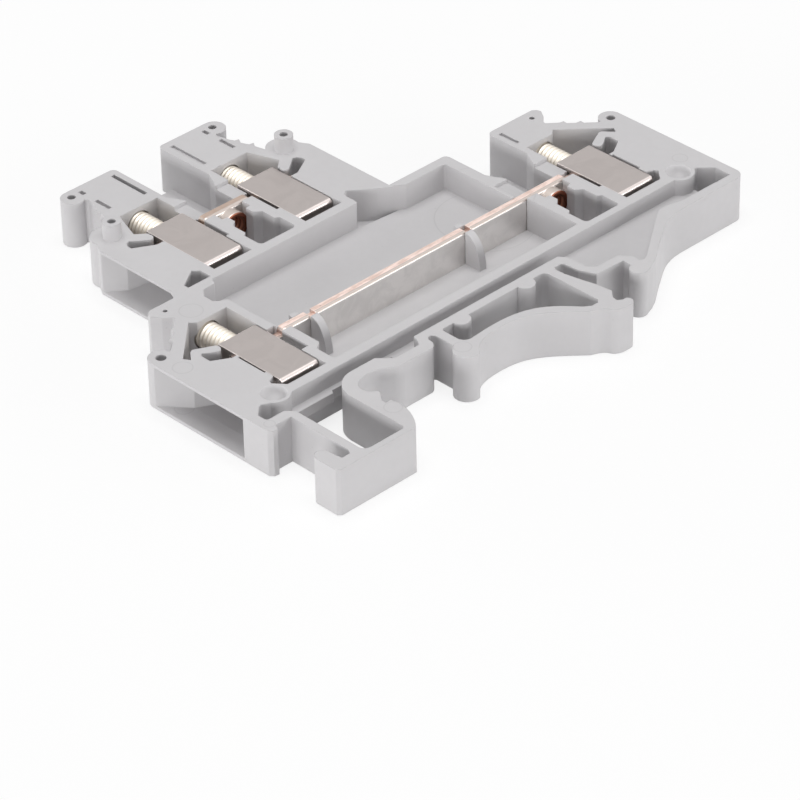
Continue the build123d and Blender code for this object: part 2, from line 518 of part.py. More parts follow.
# Current bars, each with tongues that reach through the sleeves and a threaded collar for a bridge
for level, (bar, middle, tower_top) in LEVELS.items():
    if level == "lower":
        ends = (LOWER_BAR_END, LENGTH - LOWER_BAR_END)
        inner = (LOWER_SCREW + POCKET_HALF, LENGTH - LOWER_SCREW - POCKET_HALF)
        shoulder = LOWER_SHOULDER
    else:
        ends = (UPPER_LEFT + UPPER_BAR_END, UPPER_RIGHT - UPPER_BAR_END)
        inner = (UPPER_LEFT + UPPER_SCREW + POCKET_HALF, UPPER_RIGHT - UPPER_SCREW - POCKET_HALF)
        shoulder = UPPER_SHOULDER
    with BuildPart() as current_bar:
        with BuildSketch(upright(bar + BAR_THICKNESS)):
            with Locations(((ends[0] + ends[1]) / 2, (TONGUE_BOTTOM + TONGUE_TOP) / 2)):
                Rectangle(ends[1] - ends[0], TONGUE_TOP - TONGUE_BOTTOM)
            with Locations(((inner[0] + inner[1]) / 2, COLLAR_HEIGHT)):
                RectangleRounded(inner[1] - inner[0] - 2 * shoulder, BAR_TOP - BAY_FLOOR, SHOULDER_ROUND)
        extrude(amount=BAR_THICKNESS)
        rolled = current_bar.edges().filter_by(Axis.X).group_by(Axis.Z)[-1].group_by(Axis.Y)[0]
        fillet(rolled, BAR_ROLL)
        if level == "lower":
            with BuildSketch(upright(bar + BAR_THICKNESS)):
                for rib_left, nib_middle, notch_left, notch_right in RIBS:
                    with Locations(((notch_left + notch_right) / 2, BAR_TOP)):
                        Rectangle(notch_right - notch_left, 2 * NOTCH_DEPTH)
            extrude(amount=BAR_THICKNESS, mode=Mode.SUBTRACT)
        with BuildSketch(upright(bar + BAR_THICKNESS)):
            with Locations((middle, COLLAR_HEIGHT)):
                Circle(COLLAR_RADIUS)
        extrude(amount=BAR_THICKNESS + COLLAR_LENGTH)
        fillet(current_bar.edges().group_by(Axis.Y)[0], COLLAR_ROUND)
        with BuildSketch(upright(bar + BAR_THICKNESS)):
            with Locations((middle, COLLAR_HEIGHT)):
                Circle(BRIDGE_HOLE)
        extrude(amount=BAR_THICKNESS + COLLAR_LENGTH, mode=Mode.SUBTRACT)
    current_bar.part.label = f"{level}_current_bar"
    export_step(current_bar.part, f"parts/{level}_current_bar.step")

# Clamp sleeves and their screws, one pair for each wire
for name, (face, way, bar, screw, pocket_top, tower_top) in CLAMPS.items():
    axis_x = face + way * screw
    block_bottom = bar + BAR_THICKNESS + SLEEVE_LIFT
    block_top = block_bottom + SLEEVE_BLOCK
    with BuildPart() as sleeve:
        with BuildSketch(across(axis_x - SLEEVE_LENGTH / 2)) as ring:
            with Locations((bar - SLEEVE_DROP, SLEEVE_BOTTOM)):
                Rectangle(block_top - bar + SLEEVE_DROP, SLEEVE_RISE, align=(Align.MIN, Align.MIN))
            fillet(ring.vertices().group_by(Axis.X)[0], SLEEVE_FOLD)
            with Locations((bar - SLEEVE_DROP + SLEEVE_SHEET, SLEEVE_BOTTOM + SLEEVE_SHEET)):
                Rectangle(block_bottom - bar + SLEEVE_DROP - SLEEVE_SHEET, SLEEVE_RISE - 2 * SLEEVE_SHEET,
                          align=(Align.MIN, Align.MIN), mode=Mode.SUBTRACT)
        extrude(amount=SLEEVE_LENGTH)
        with BuildSketch(upright(block_top)):
            with Locations((axis_x, SCREW_HEIGHT)):
                Circle(SCREW_RADIUS + THREAD_GAP)
        extrude(amount=SLEEVE_BLOCK, mode=Mode.SUBTRACT)
    sleeve.part.label = f"{name}_clamp_sleeve"
    export_step(sleeve.part, f"parts/{name}_clamp_sleeve.step")

    tip = bar + BAR_THICKNESS + BAR_GAP
    head_bottom = bar + pocket_top + SHOULDER + BAR_GAP
    with BuildPart() as clamp_screw:
        with BuildSketch(upright(head_bottom)):
            with Locations((axis_x, SCREW_HEIGHT)):
                Circle(SCREW_RADIUS)
        extrude(amount=head_bottom - tip)
        chamfer(clamp_screw.edges().group_by(Axis.Y)[0], 0.3)
        with BuildSketch(upright(head_bottom + HEAD_LENGTH)):
            with Locations((axis_x, SCREW_HEIGHT)):
                Circle(HEAD_RADIUS)
        extrude(amount=HEAD_LENGTH)
        with BuildSketch(upright(head_bottom + HEAD_LENGTH)):
            with Locations((axis_x, SCREW_HEIGHT)):
                Rectangle(2 * HEAD_RADIUS, SLOT_WIDTH)
        extrude(amount=SLOT_DEPTH, mode=Mode.SUBTRACT)
    clamp_screw.part.label = f"{name}_clamp_screw"
    export_step(clamp_screw.part, f"parts/{name}_clamp_screw.step")
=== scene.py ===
"""Dresses one module of a double-level terminal block and sets up its studio stage.

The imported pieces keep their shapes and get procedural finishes. The clamp screws are rebuilt with real
threads, and the bridge collars get threads of their own. All lengths in the frame are metres.
"""

import json
from math import asin, cos, floor, pi, radians, sin, tau

import bpy
from bpy.props import FloatProperty, FloatVectorProperty, PointerProperty
from mathutils import Matrix, Vector


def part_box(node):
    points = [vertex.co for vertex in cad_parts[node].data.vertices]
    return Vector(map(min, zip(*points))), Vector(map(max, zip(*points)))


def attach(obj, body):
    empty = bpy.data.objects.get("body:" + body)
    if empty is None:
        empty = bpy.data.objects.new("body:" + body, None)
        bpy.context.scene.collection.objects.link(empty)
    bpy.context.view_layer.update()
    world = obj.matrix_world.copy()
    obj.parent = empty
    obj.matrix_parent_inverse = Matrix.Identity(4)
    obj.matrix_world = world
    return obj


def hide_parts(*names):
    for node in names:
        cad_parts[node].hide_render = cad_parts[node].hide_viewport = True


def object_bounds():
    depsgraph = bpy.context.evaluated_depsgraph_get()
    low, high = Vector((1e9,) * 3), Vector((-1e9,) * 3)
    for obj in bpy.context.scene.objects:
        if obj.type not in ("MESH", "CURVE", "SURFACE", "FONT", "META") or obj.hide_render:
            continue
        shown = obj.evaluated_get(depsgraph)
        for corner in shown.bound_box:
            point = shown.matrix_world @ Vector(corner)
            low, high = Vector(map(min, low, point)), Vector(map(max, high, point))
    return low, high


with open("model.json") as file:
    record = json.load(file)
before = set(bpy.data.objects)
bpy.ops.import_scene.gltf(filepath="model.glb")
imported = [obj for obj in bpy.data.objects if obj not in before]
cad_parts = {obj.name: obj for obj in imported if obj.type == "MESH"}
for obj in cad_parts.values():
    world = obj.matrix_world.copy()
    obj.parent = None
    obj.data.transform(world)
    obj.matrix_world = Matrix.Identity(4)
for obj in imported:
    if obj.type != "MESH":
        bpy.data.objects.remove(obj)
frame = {"nodes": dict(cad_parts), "record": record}
CAD_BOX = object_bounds()

bl_info = {
    "name": "Double-level terminal block",
    "version": (1, 0, 0),
    "blender": (4, 5, 0),
    "location": "3D View > Sidebar > Terminal block",
    "description": "Finishes and threads for a rail-mounted terminal block, and its studio stage",
    "category": "Object",
}

MM = 0.001
MOUNTS = {mount["name"]: mount for mount in frame["record"]["mounts"]}
LEVELS = ("lower", "upper")
CLAMPS = ("lower_left", "lower_right", "upper_left", "upper_right")
COLLAR_LENGTH = 1.1 * MM

# Threads: points around, rows in one turn, how sharp the roots are, and the angle that stays a sharp edge
AROUND = 40
ROWS_PER_TURN = 12
ROOT_POWER = 0.8
SHARP_ANGLE = radians(38)

# Colours that the finishes mix in
# Painted shade in the screw threads' roots
ROOT_SHADE_TONES = (0.75, 0.71, 0.64)
# Painted shade on the bars' tin
SHADED_TIN = (0.44, 0.37, 0.33)
# Painted highlight on the bars' edges
EDGE_GLINT_TIN = (0.9, 0.87, 0.83)
NICK_BROWN = (0.2, 0.15, 0.13)
# Painted shade on the copper of the upper bar
UPPER_SHADE_COPPER = (0.36, 0.27, 0.21)
RED_COPPER = (0.4, 0.15, 0.09)
DARK_COPPER = (0.26, 0.1, 0.065)
CUT_COPPER = (0.42, 0.2, 0.13)
# Painted shade in the collar threads' roots, mixed with real tarnish
ROOT_SHADE_AND_TARNISH_COPPER = (0.22, 0.1, 0.07)


# Shader sockets as values

class Socket:
    """An output socket in a finish. Python's operators on it add the Math nodes that they stand for."""

    def __init__(self, finish, link):
        self.finish = finish
        self.link = link

    def maths(self, operation, *values):
        inputs = dict(enumerate(values))
        return self.finish.node("ShaderNodeMath", {"operation": operation}, inputs)

    def __add__(self, other):
        return self.maths("ADD", self, other)

    def __radd__(self, other):
        return self.maths("ADD", other, self)

    def __sub__(self, other):
        return self.maths("SUBTRACT", self, other)

    def __rsub__(self, other):
        return self.maths("SUBTRACT", other, self)

    def __mul__(self, other):
        return self.maths("MULTIPLY", self, other)

    def __rmul__(self, other):
        return self.maths("MULTIPLY", other, self)

    def __truediv__(self, other):
        return self.maths("DIVIDE", self, other)

    def __abs__(self):
        return self.maths("ABSOLUTE", self)

    def root(self):
        return self.maths("SQRT", self)

    def fade(self, low, high):
        """0 at low and 1 at high, with soft ends."""
        settings = {"interpolation_type": "SMOOTHSTEP", "clamp": True}
        return self.finish.node("ShaderNodeMapRange", settings, {0: self, 1: low, 2: high, 3: 0.0, 4: 1.0})


class Finish:
    """One procedural material, built node by node around a Principled shader."""

    def __init__(self, name):
        self.material = bpy.data.materials.new(name)
        self.material.use_nodes = True
        self.tree = self.material.node_tree
        self.tree.nodes.clear()
        self.coordinates = self.tree.nodes.new("ShaderNodeTexCoord")

    def node(self, kind, settings=None, inputs=None, output=0):
        made = self.tree.nodes.new(kind)
        for name, value in (settings or {}).items():
            setattr(made, name, value)
        for key, value in (inputs or {}).items():
            if isinstance(value, Socket):
                self.tree.links.new(value.link, made.inputs[key])
            else:
                made.inputs[key].default_value = value
        return Socket(self, made.outputs[output]) if made.outputs else None

    def place(self):
        return Socket(self, self.coordinates.outputs["Object"])

    def facing(self):
        return Socket(self, self.coordinates.outputs["Normal"])

    def parts(self, vector):
        split = self.node("ShaderNodeSeparateXYZ", None, {0: vector}).link.node
        return [Socket(self, output) for output in split.outputs]

    def stretched(self, scale):
        return self.node("ShaderNodeVectorMath", {"operation": "MULTIPLY"}, {0: self.place(), 1: scale})

    def noise(self, size, detail=2.0, roughness=0.5, vector=None, distortion=0.0):
        inputs = {"Vector": vector or self.place(), "Scale": 1 / size, "Detail": detail,
                  "Roughness": roughness, "Distortion": distortion}
        return self.node("ShaderNodeTexNoise", None, inputs)

    def mix(self, amount, first, second):
        first = (*first, 1.0) if isinstance(first, tuple) else first
        second = (*second, 1.0) if isinstance(second, tuple) else second
        inputs = {0: amount, 6: first, 7: second}
        return self.node("ShaderNodeMix", {"data_type": "RGBA"}, inputs, output=2)

    def soft_edges(self, radius):
        return self.node("ShaderNodeBevel", {"samples": 6}, {"Radius": radius})

    def edge_mask(self, soft):
        """1 on a sharp edge and 0 on a flat face."""
        flat = self.node("ShaderNodeNewGeometry", None, None, output=1)
        inputs = {0: soft, 1: flat}
        alike = self.node("ShaderNodeVectorMath", {"operation": "DOT_PRODUCT"}, inputs, output=1)
        return (1 - alike).fade(0.0, 0.12)

    def bump(self, height, depth, normal):
        return self.node("ShaderNodeBump", None, {"Strength": 1.0, "Distance": depth, "Height": height,
                                                   "Normal": normal})

    def close(self, inputs):
        shader = self.node("ShaderNodeBsdfPrincipled", None, inputs)
        self.node("ShaderNodeOutputMaterial", None, {"Surface": shader})
        return self.material


# Settings that a user may change

class PlasticSettings(bpy.types.PropertyGroup):
    """Look of the moulded housing."""

    colour: FloatVectorProperty(
        name="Colour", description="Colour of the light grey polyamide", subtype="COLOR",
        default=(0.6, 0.588, 0.597), min=0.0, max=1.0)
    roughness: FloatProperty(
        name="Roughness", description="Roughness of the moulded skin", default=0.5, min=0.1, max=1.0)
    edge_radius: FloatProperty(
        name="Edge radius", description="How far the light softens the moulded edges", default=0.13 * MM,
        min=0.0, unit="LENGTH")
    grain_size: FloatProperty(
        name="Grain size", description="Size of the mould's fine texture", default=0.16 * MM, min=0.01 * MM,
        unit="LENGTH")
    grain_depth: FloatProperty(
        name="Grain depth", description="Depth of the mould's fine texture", default=0.004 * MM, min=0.0,
        unit="LENGTH")


class MetalSettings(bpy.types.PropertyGroup):
    """Look and threads of the metal parts."""

    sleeve_colour: FloatVectorProperty(
        name="Sleeve colour", description="Warm nickel of the clamp sleeves", subtype="COLOR",
        default=(0.44, 0.40, 0.385), min=0.0, max=1.0)
    screw_colour: FloatVectorProperty(
        name="Screw colour", description="Pale zinc of the clamp screws", subtype="COLOR",
        default=(0.84, 0.79, 0.715), min=0.0, max=1.0)
    plating_colour: FloatVectorProperty(
        name="Bar plating", description="Tin on the faces of the current bars", subtype="COLOR",
        default=(0.85, 0.83, 0.81), min=0.0, max=1.0)
    copper_colour: FloatVectorProperty(
        name="Bare copper", description="Copper on the cut edges of the current bars", subtype="COLOR",
        default=(0.67, 0.51, 0.45), min=0.0, max=1.0)
    thread_pitch: FloatProperty(
        name="Thread pitch", description="Rise of the clamp thread in one turn", default=0.5 * MM,
        min=0.1 * MM, unit="LENGTH")
    thread_depth: FloatProperty(
        name="Thread depth", description="Depth of the clamp thread", default=0.12 * MM, min=0.0,
        unit="LENGTH")
    head_length: FloatProperty(
        name="Head length", description="Length of the cheese head of a clamp screw", default=2.2 * MM,
        min=0.5 * MM, unit="LENGTH")
    slot_width: FloatProperty(
        name="Slot width", description="Width of the slot in a screw head", default=0.6 * MM, min=0.1 * MM,
        unit="LENGTH")
    slot_depth: FloatProperty(
        name="Slot depth", description="Depth of the slot in a screw head", default=0.9 * MM, min=0.1 * MM,
        unit="LENGTH")


class StageSettings(bpy.types.PropertyGroup):
    """Floor, lamps and camera."""

    floor_colour: FloatVectorProperty(
        name="Floor colour", description="Colour of the white table", subtype="COLOR",
        default=(0.97, 0.97, 0.97), min=0.0, max=1.0)
    sky_light: FloatProperty(
        name="Sky light", description="Strength of the even light all round", default=0.25, min=0.0)
    key_power: FloatProperty(
        name="Key power", description="Power of the soft lamp in front", default=8.0, min=0.0, unit="POWER")
    lens: FloatProperty(
        name="Lens", description="Focal length of the camera in millimetres", default=192.4, min=10.0)


# Finishes

def toned(colour, share):
    """The colour times a share, held at 1."""
    return tuple(min(1.0, share * part) for part in colour)


# Ejector marks: places in from the left end and up from the foot, and radii, all in millimetres
EJECTOR_MARKS = ((11.0, 3.9, 0.9), (22.9, 6.5, 0.9), (0.95, 10.3, 0.55), (1.6, 23.3, 1.0), (8.9, 30.2, 1.2),
                 (63.5, 15.3, 0.8), (44.6, 25.0, 5.2))
MARK_WIDTH = 0.11 * MM


def moulded_plastic(look):
    """Light grey polyamide: a fine matte skin, faint flow clouds, ejector marks with painted shade in their
    rings, and a painted highlight on the soft edges.
    """
    finish = Finish("moulded_plastic")
    x, y = finish.parts(finish.place())[:2]
    up = finish.parts(finish.facing())[2].fade(0.7, 0.95)
    corner = CAD_BOX[0]
    rings = 0.0
    for mark_x, mark_y, mark_radius in EJECTOR_MARKS:
        away_x = x - (corner.x + mark_x * MM)
        away_y = y - (corner.y + mark_y * MM)
        distance = (away_x * away_x + away_y * away_y).root()
        rings = rings + (1 - (abs(distance - mark_radius * MM) / MARK_WIDTH).fade(0.0, 1.0))
    rings = rings * up
    cloud = finish.noise(9 * MM, 3.0, 0.55, distortion=0.4)
    mottle = finish.noise(0.9 * MM, 3.0, 0.6)
    speck = finish.noise(0.35 * MM, 1.0, 0.5).fade(0.75, 0.8)
    soft = finish.soft_edges(look.edge_radius)
    edge = finish.edge_mask(soft)
    base = tuple(look.colour)
    clouds = cloud.fade(0.35, 0.65) * 0.35 + mottle.fade(0.3, 0.7) * 0.2
    colour = finish.mix(clouds, base, toned(base, 0.93))
    # Painted shade in the shallow ejector rings, together with the plastic's own dark specks
    colour = finish.mix(rings * 0.5 + speck * 0.4, colour, toned(base, 0.8))
    # Painted highlight: the edges are painted lighter than the plastic
    colour = finish.mix(edge * 0.55, colour, toned(base, 1.1))
    grain = finish.noise(look.grain_size, 2.0, 0.6)
    height = grain + mottle * 0.5 + rings * -2.0
    normal = finish.bump(height, look.grain_depth, soft)
    return finish.close({
        "Base Color": colour,
        "Roughness": look.roughness + (mottle - 0.5) * 0.16 + edge * -0.08,
        "IOR": 1.5,
        "Specular IOR Level": 0.4,
        "Normal": normal,
    })


def nickel_sheet(look):
    """Folded sheet: smooth satin nickel with faint rolling lines, a few smudges, and painted glints on its
    folds and edges.
    """
    finish = Finish("nickel_sheet")
    rolled = finish.noise(0.5 * MM, 3.0, 0.6, finish.stretched((9.0, 0.7, 1.0)))
    smudge = finish.noise(3.2 * MM, 3.0, 0.55, distortion=0.8)
    pits = finish.noise(0.12 * MM, 2.0, 0.6)
    soft = finish.soft_edges(0.16 * MM)
    facing = finish.parts(finish.facing())
    # Painted glint: the faces that turn from the top towards the side at a fold
    fold_glint = abs(facing[1]).fade(0.1, 0.45) * facing[2].fade(0.1, 0.5)
    edge = (finish.edge_mask(soft) + fold_glint).fade(0.0, 1.0)
    base = tuple(look.sleeve_colour)
    colour = finish.mix(smudge.fade(0.4, 0.66) * 0.7, base, toned(base, 0.9))
    # Painted glint on the folds and edges, at twice the sleeve colour
    colour = finish.mix(edge * 0.8, colour, toned(base, 2.0))
    roughness = 0.3 + smudge.fade(0.35, 0.75) * 0.07 + rolled * 0.06 - edge * 0.06
    normal = finish.bump(pits + rolled * 1.2, 0.0018 * MM, soft)
    return finish.close({"Base Color": colour, "Metallic": 1.0, "Roughness": roughness, "Normal": normal})


def plated_copper(look):
    """Current bar: tin outside, bare copper on its sheared edge and ends, red copper in its collar, painted
    shade on its tin and on the upper bar, and painted highlights on its edges.
    """
    finish = Finish("plated_copper")
    sheared_from = 0.38 * MM
    bar_room = 3 * MM
    bore_edge = (1.28 * MM, 1.34 * MM)
    rim_edge = (1.66 * MM, 1.74 * MM)
    x, y, z = finish.parts(finish.place())
    facing = finish.parts(finish.facing())
    sheared = 0.0
    collar = 0.0
    for level in LEVELS:
        mount = MOUNTS[f"{level}_bridge_thread"]
        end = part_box(f"{level}_current_bar")[0][1]
        front = end + COLLAR_LENGTH
        band = (y - (front + sheared_from)).fade(-0.04 * MM, 0.04 * MM)
        band = band * (1 - (y - (front + bar_room)).fade(0.0, MM))
        sheared = sheared + band
        away_x = x - mount["pos_m"][0]
        away_z = z - mount["pos_m"][2]
        distance = (away_x * away_x + away_z * away_z).root()
        inside = 1 - distance.fade(*bore_edge)
        ring = (1 - distance.fade(*rim_edge)) * (1 - (y - end).fade(0.05 * MM, 0.2 * MM))
        near = (y - (end - MM)).fade(0.0, 0.5 * MM) * (1 - (y - (front + MM)).fade(0.0, MM))
        collar = collar + (inside + ring).fade(0.0, 0.6) * near
    ends = abs(facing[0]).fade(0.6, 0.95)
    cut = (abs(facing[2]).fade(0.75, 0.95) * sheared + ends).fade(0.2, 0.8)
    streak = finish.noise(0.4 * MM, 3.0, 0.6, finish.stretched((0.25, 1.0, 1.4)))
    stain = finish.noise(2.4 * MM, 3.0, 0.6, distortion=0.6)
    nick = finish.noise(0.7 * MM, 2.0, 0.5, finish.stretched((1.0, 1.0, 0.3))).fade(0.72, 0.78)
    soft = finish.soft_edges(0.08 * MM)
    edge = finish.edge_mask(soft)
    tin = tuple(look.plating_colour)
    copper = tuple(look.copper_colour)
    pale_copper = tuple(min(1.0, part + 0.2) for part in copper)
    plated = finish.mix(stain.fade(0.38, 0.66), tin, toned(tin, 0.9))
    # Painted shade: the tin on faces that point up or down is darkened, which holds back the top lamp's
    # reflection; the tin near the collars is darker too
    tin_shade = (abs(facing[2]).fade(0.15, 0.6) + collar.fade(0.0, 0.1)).fade(0.0, 1.0)
    plated = finish.mix(tin_shade * 0.8, plated, SHADED_TIN)
    bare = finish.mix(streak.fade(0.35, 0.65), copper, pale_copper)
    bare = finish.mix(nick * 0.6, bare, NICK_BROWN)
    upper_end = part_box("upper_current_bar")[0][1]
    # Painted shade: the copper of the upper bar, which lies in shade between the towers, is painted darker
    # brown
    upper_shade = (y - (upper_end - 2 * MM)).fade(0.0, MM)
    bare = finish.mix(upper_shade * (0.5 + stain * 0.5), bare, UPPER_SHADE_COPPER)
    red = finish.mix(stain.fade(0.3, 0.7), RED_COPPER, DARK_COPPER)
    colour = finish.mix(cut, plated, bare)
    colour = finish.mix(collar.fade(0.2, 0.8), colour, red)
    # Painted highlight: pale tin on the bar's edges
    colour = finish.mix(edge * 0.5, colour, EDGE_GLINT_TIN)
    roughness = 0.32 + stain * 0.1 + streak * 0.06 - edge * 0.1
    normal = finish.bump(streak + nick * -1.0, 0.003 * MM, soft)
    return finish.close({"Base Color": colour, "Metallic": 1.0, "Roughness": roughness, "Normal": normal})


def cut_copper():
    """The collar's own thread: bare copper on the crests, with painted shade in the roots and faint random
    tarnish.
    """
    finish = Finish("cut_copper")
    root = finish.node("ShaderNodeAttribute", {"attribute_name": "thread_root"}, None, output=2)
    tarnish = finish.noise(0.7 * MM, 3.0, 0.6)
    # Painted shade in the thread's roots, with random tarnish
    colour = finish.mix(root.fade(0.2, 0.9) * 0.8 + tarnish * 0.2, CUT_COPPER, ROOT_SHADE_AND_TARNISH_COPPER)
    roughness = 0.34 + tarnish * 0.16
    normal = finish.bump(tarnish, 0.002 * MM, finish.soft_edges(0.04 * MM))
    return finish.close({"Base Color": colour, "Metallic": 1.0, "Roughness": roughness, "Normal": normal})


def zinc_thread(look):
    """Machined screw: pale zinc on the thread's crests, darker in random grease patches, and with painted
    shade in its roots.
    """
    finish = Finish("zinc_thread")
    root = finish.node("ShaderNodeAttribute", {"attribute_name": "thread_root"}, None, output=2)
    grease = finish.noise(0.8 * MM, 3.0, 0.6)
    turned = finish.noise(0.1 * MM, 2.0, 0.5, finish.stretched((1.0, 6.0, 1.0)))
    soft = finish.soft_edges(0.06 * MM)
    base = tuple(look.screw_colour)
    shade = tuple(part * tone for part, tone in zip(base, ROOT_SHADE_TONES))
    colour = finish.mix(grease.fade(0.35, 0.7) * 0.25, base, toned(base, 0.85))
    # Painted shade in the thread's roots
    colour = finish.mix(root.fade(0.35, 1.0) * 0.3, colour, shade)
    roughness = 0.46 + grease * 0.12 + root * 0.1
    normal = finish.bump(turned, 0.0015 * MM, soft)
    return finish.close({"Base Color": colour, "Metallic": 1.0, "Roughness": roughness, "Normal": normal})


# Threads

def thread_root(turns, angle):
    """0 on the thread's crest and 1 in its root, after so many pitches along the screw."""
    along = turns - angle / tau
    along -= floor(along)
    return (0.5 + 0.5 * cos(tau * along)) ** ROOT_POWER


def new_piece(name, points, faces, roots):
    """A smooth-shaded mesh object whose points know how deep in the thread they lie."""
    mesh = bpy.data.meshes.new(name)
    mesh.from_pydata(points, [], faces)
    mesh.validate()
    mesh.update()
    shades = mesh.attributes.new("thread_root", "FLOAT", "POINT")
    for index, depth in enumerate(roots):
        shades.data[index].value = depth
    mesh.shade_smooth()
    mesh.set_sharp_from_angle(angle=SHARP_ANGLE)
    piece = bpy.data.objects.new(name, mesh)
    bpy.context.collection.objects.link(piece)
    return piece


def half_arcs(radius, half_slot, count):
    """Two arcs of a circle above and below a slot along X, as X and Z."""
    start = asin(half_slot / radius)
    upper = [start + (pi - 2 * start) * step / (count - 1) for step in range(count)]
    return [[(radius * cos(turn + side), radius * sin(turn + side)) for turn in upper] for side in (0, pi)]


def screw_mesh(name, low, high, look):
    """A slotted cheese-head screw along Y, threaded from its chamfered tip to its head."""
    tip_chamfer = 0.3 * MM
    head_chamfer = 0.12 * MM
    head_overhang = 0.23 * MM
    centre_x = (low.x + high.x) / 2
    centre_z = (low.z + high.z) / 2
    head_radius = (high.x - low.x) / 2
    shank_radius = head_radius - head_overhang
    shoulder = high.y - look.head_length
    slot_floor = high.y - look.slot_depth
    rows = round((shoulder - low.y) / look.thread_pitch * ROWS_PER_TURN)
    points, faces, roots = [], [], []
    for row in range(rows + 1):
        height = (shoulder - low.y) * row / rows
        limit = shank_radius - max(0.0, tip_chamfer - height)
        for step in range(AROUND):
            angle = tau * step / AROUND
            root = thread_root(height / look.thread_pitch, angle)
            radius = min(limit, shank_radius - look.thread_depth * root)
            points.append((centre_x + radius * sin(angle), low.y + height, centre_z + radius * cos(angle)))
            roots.append(root)
    for row in range(rows):
        for step in range(AROUND):
            after = (step + 1) % AROUND
            first, second = row * AROUND, (row + 1) * AROUND
            faces.append((first + step, first + after, second + after, second + step))
    faces.append(tuple(range(AROUND - 1, -1, -1)))

    half_slot = look.slot_width / 2
    arc = AROUND // 2

    def ring(radius, y):
        start = len(points)
        for half in half_arcs(radius, half_slot, arc):
            points.extend((centre_x + x, y, centre_z + z) for x, z in half)
        roots.extend([0.0] * (2 * arc))
        return start

    bottom = ring(head_radius - head_chamfer, shoulder)
    lower = ring(head_radius, shoulder + head_chamfer)
    level = ring(head_radius, slot_floor)
    upper = ring(head_radius, high.y - head_chamfer)
    top = ring(head_radius - head_chamfer, high.y)
    full = 2 * arc
    faces.append(tuple(bottom + step for step in range(full)))
    for first, second in ((bottom, lower), (lower, level)):
        for step in range(full):
            after = (step + 1) % full
            faces.append((first + after, first + step, second + step, second + after))
    for first, second in ((level, upper), (upper, top)):
        for side in (0, arc):
            for step in range(side, side + arc - 1):
                faces.append((first + step + 1, first + step, second + step, second + step + 1))
            faces.append((first + side, first + side + arc - 1, second + side + arc - 1, second + side))
    for side in (0, arc):
        faces.append(tuple(top + step for step in range(side + arc - 1, side - 1, -1)))
    faces.append((level + full - 1, level + arc, level + arc - 1, level))
    return new_piece(name, points, faces, roots)


def collar_thread(name, centre, radius, length, look):
    """The inner thread of a bridge collar, along Y, as a thin threaded lining."""
    lining = 0.06 * MM
    depth = 0.16 * MM
    outer = radius + lining
    rows = round(length / look.thread_pitch * ROWS_PER_TURN)
    points, faces, roots = [], [], []
    for row in range(rows + 1):
        height = length * row / rows
        for step in range(AROUND):
            angle = tau * step / AROUND
            root = thread_root(height / look.thread_pitch, angle)
            inner = radius - depth * (1 - root)
            y = centre.y - length / 2 + height
            points.append((centre.x + inner * sin(angle), y, centre.z + inner * cos(angle)))
            roots.append(root)
    for y in (centre.y + length / 2, centre.y - length / 2):
        for step in range(AROUND):
            angle = tau * step / AROUND
            points.append((centre.x + outer * sin(angle), y, centre.z + outer * cos(angle)))
            roots.append(0.0)
    rings = rows + 3
    for row in range(rings):
        for step in range(AROUND):
            after = (step + 1) % AROUND
            first, second = row * AROUND, (row + 1) % rings * AROUND
            faces.append((first + after, first + step, second + step, second + after))
    return new_piece(name, points, faces, roots)


# Operators

def paint(target, material):
    target.data.materials.clear()
    target.data.materials.append(material)


class TERMINAL_OT_dress_housing(bpy.types.Operator):
    """Give the housing its moulded plastic"""

    bl_idname = "terminal.dress_housing"
    bl_label = "Dress the housing"

    def execute(self, context):
        paint(frame["nodes"]["housing"], moulded_plastic(context.scene.terminal_plastic))
        return {"FINISHED"}


class TERMINAL_OT_dress_bars(bpy.types.Operator):
    """Plate the current bars and cut the threads of their collars"""

    bl_idname = "terminal.dress_bars"
    bl_label = "Dress the current bars"

    def execute(self, context):
        look = context.scene.terminal_metal
        plating = plated_copper(look)
        cut = cut_copper()
        for level in LEVELS:
            paint(frame["nodes"][f"{level}_current_bar"], plating)
            mount = MOUNTS[f"{level}_bridge_thread"]
            radius = mount["dims"]["r_mm"] * MM
            length = mount["dims"]["length_mm"] * MM
            thread = collar_thread(f"{level}_collar_thread", Vector(mount["pos_m"]), radius, length, look)
            paint(thread, cut)
            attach(thread, "shell")
        return {"FINISHED"}


class TERMINAL_OT_dress_sleeves(bpy.types.Operator):
    """Give the folded clamp sleeves their satin nickel"""

    bl_idname = "terminal.dress_sleeves"
    bl_label = "Dress the clamp sleeves"

    def execute(self, context):
        nickel = nickel_sheet(context.scene.terminal_metal)
        for clamp in CLAMPS:
            paint(frame["nodes"][f"{clamp}_clamp_sleeve"], nickel)
        return {"FINISHED"}


class TERMINAL_OT_build_screws(bpy.types.Operator):
    """Build the four clamp screws with their threads and slots"""

    bl_idname = "terminal.build_screws"
    bl_label = "Build the clamp screws"

    def execute(self, context):
        look = context.scene.terminal_metal
        zinc = zinc_thread(look)
        for clamp in CLAMPS:
            low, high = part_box(f"{clamp}_clamp_screw")
            screw = screw_mesh(f"{clamp}_threaded_screw", Vector(low), Vector(high), look)
            paint(screw, zinc)
            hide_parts(f"{clamp}_clamp_screw")
            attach(screw, f"{clamp}_screw")
        return {"FINISHED"}


